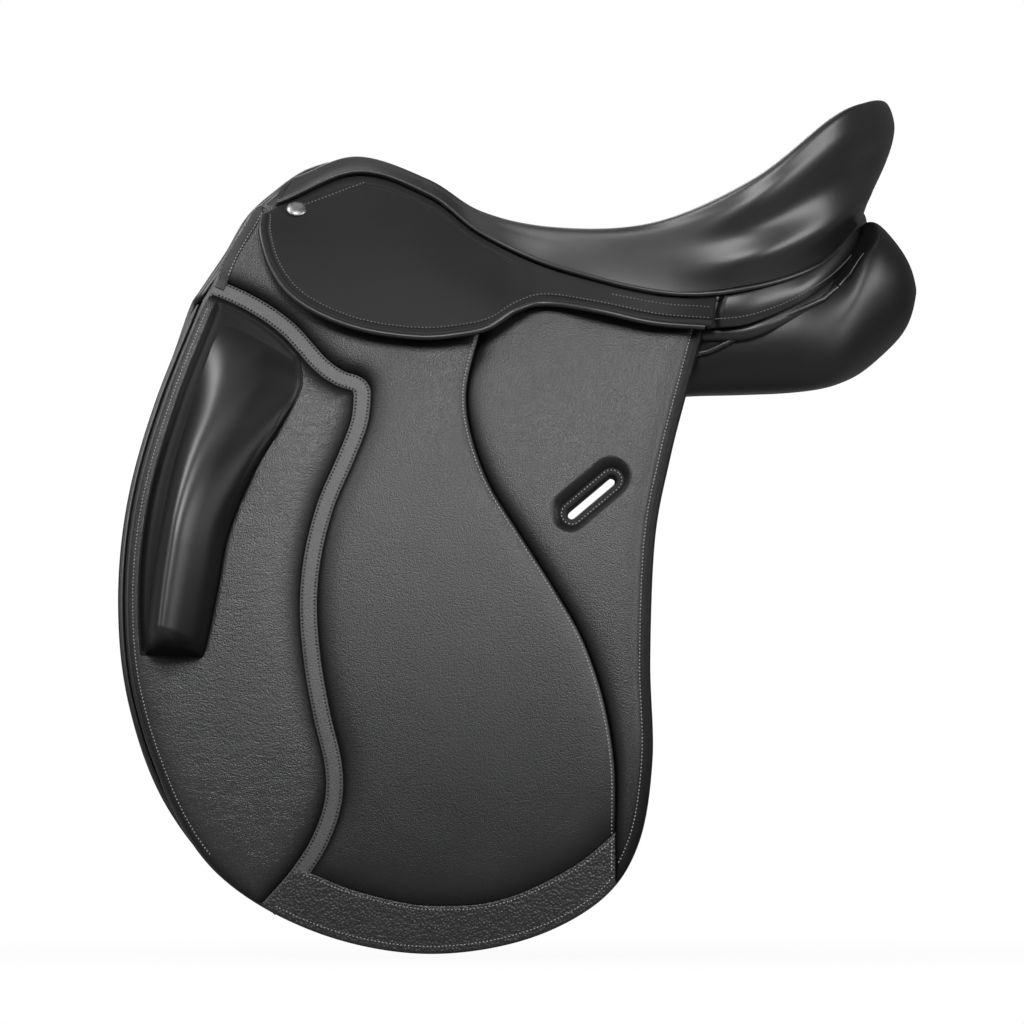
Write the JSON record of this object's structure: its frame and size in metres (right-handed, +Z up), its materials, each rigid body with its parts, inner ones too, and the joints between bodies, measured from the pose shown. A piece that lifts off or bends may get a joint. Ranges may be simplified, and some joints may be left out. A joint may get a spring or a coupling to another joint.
{
  "type": "dressage saddle",
  "caption": "English dressage saddle with a deep seat, long straight flaps, outside knee blocks, stuffed panels, stirrup bars and girth straps.",
  "frame": {"origin": "on the middle plane, at the level on which the panels bear, under the front of the seat's hollow", "axes": "+X from pommel to cantle, +Z up, so the horse's left side, which the picture shows, is at -Y"},
  "size_m": [0.5722, 0.4704, 0.6141],
  "materials": {
    "smooth_leather": "smooth calf, soft gloss",
    "grain_leather": "fine pebbled grain, satin",
    "coarse_leather": "coarse grain, satin",
    "panel_leather": "smooth, stuffed with wool",
    "strap_leather": "bridle leather, waxed",
    "tree_wood": "laminated beech",
    "steel": "forged, bright",
    "polished_steel": "polished",
    "webbing": "woven",
    "foam": "open-cell foam"
  },
  "bodies": {
    "saddle": {"tree": "tree_wood", "head_plate": "steel", "left_spring": "steel", "right_spring": "steel", "seat_web": "webbing", "front_girth_web": "webbing", "rear_girth_web": "webbing", "seat_foam": "foam", "seat_cover": "smooth_leather", "left_welt": "smooth_leather", "right_welt": "smooth_leather", "left_skirt": "smooth_leather", "right_skirt": "smooth_leather", "cantle_facing": "smooth_leather", "pommel_roll": "smooth_leather", "front_facing": "smooth_leather", "left_head_nail": "polished_steel", "right_head_nail": "polished_steel", "left_point": "tree_wood", "right_point": "tree_wood", "left_stirrup_bar": "steel", "right_stirrup_bar": "steel", "left_catch_pin": "steel", "right_catch_pin": "steel", "bar_rivets": "steel", "flap_screws": "steel", "left_flap_top": "grain_leather", "right_flap_top": "grain_leather", "left_sweat_flap": "grain_leather", "right_sweat_flap": "grain_leather", "left_panel": "panel_leather", "right_panel": "panel_leather", "gullet_lining": "smooth_leather", "strap_rivets": "steel"},
    "left_flap": {"left_flap": "grain_leather", "left_knee_panel": "grain_leather", "left_main_panel": "grain_leather", "left_rear_panel": "grain_leather", "left_seam_strip": "smooth_leather", "left_bottom_band": "coarse_leather", "left_knee_block": "smooth_leather", "left_slot_patch": "grain_leather"},
    "left_skirt_lobe": {"left_skirt_lobe": "smooth_leather"},
    "left_bar_catch": {"left_bar_catch": "steel"},
    "left_front_strap": {"left_front_strap": "strap_leather"},
    "left_rear_strap": {"left_rear_strap": "strap_leather"},
    "right_flap": {"right_flap": "grain_leather", "right_knee_panel": "grain_leather", "right_main_panel": "grain_leather", "right_rear_panel": "grain_leather", "right_seam_strip": "smooth_leather", "right_bottom_band": "coarse_leather", "right_knee_block": "smooth_leather", "right_slot_patch": "grain_leather"},
    "right_skirt_lobe": {"right_skirt_lobe": "smooth_leather"},
    "right_bar_catch": {"right_bar_catch": "steel"},
    "right_front_strap": {"right_front_strap": "strap_leather"},
    "right_rear_strap": {"right_rear_strap": "strap_leather"}
  },
  "joints": [
    {"name": "left_flap_lift", "type": "hinge", "parent": "saddle", "child": "left_flap", "pos_m": [-0.241, -0.09616, 0.066], "axis": [-0.9655, 0.1808, 0.1875], "range_deg": [0, 60]},
    {"name": "left_skirt_lift", "type": "hinge", "parent": "saddle", "child": "left_skirt_lobe", "pos_m": [-0.2, -0.07232, 0.136], "axis": [-0.9166, 0.2702, 0.2947], "range_deg": [0, 70]},
    {"name": "left_catch_open", "type": "hinge", "parent": "saddle", "child": "left_bar_catch", "pos_m": [-0.08213, -0.11107, 0.07423], "axis": [-0.0889, -0.8909, 0.4455], "range_deg": [0, 80]},
    {"name": "left_front_strap_swing", "type": "hinge", "parent": "saddle", "child": "left_front_strap", "pos_m": [-0.086, -0.11022, 0.042], "axis": [0.0901, 0.903, -0.42], "range_deg": [-2, 8]},
    {"name": "left_rear_strap_swing", "type": "hinge", "parent": "saddle", "child": "left_rear_strap", "pos_m": [-0.025, -0.11631, 0.042], "axis": [0.0901, 0.903, -0.42], "range_deg": [-8, 2]},
    {"name": "right_flap_lift", "type": "hinge", "parent": "saddle", "child": "right_flap", "pos_m": [-0.241, 0.09616, 0.066], "axis": [0.9655, 0.1808, -0.1875], "range_deg": [0, 60]},
    {"name": "right_skirt_lift", "type": "hinge", "parent": "saddle", "child": "right_skirt_lobe", "pos_m": [-0.2, 0.07232, 0.136], "axis": [0.9166, 0.2702, -0.2947], "range_deg": [0, 70]},
    {"name": "right_catch_open", "type": "hinge", "parent": "saddle", "child": "right_bar_catch", "pos_m": [-0.08213, 0.11107, 0.07423], "axis": [0.0889, -0.8909, -0.4455], "range_deg": [0, 80]},
    {"name": "right_front_strap_swing", "type": "hinge", "parent": "saddle", "child": "right_front_strap", "pos_m": [-0.086, 0.11022, 0.042], "axis": [-0.0901, 0.903, 0.42], "range_deg": [-2, 8]},
    {"name": "right_rear_strap_swing", "type": "hinge", "parent": "saddle", "child": "right_rear_strap", "pos_m": [-0.025, 0.11631, 0.042], "axis": [-0.0901, 0.903, 0.42], "range_deg": [-8, 2]}
  ]
}
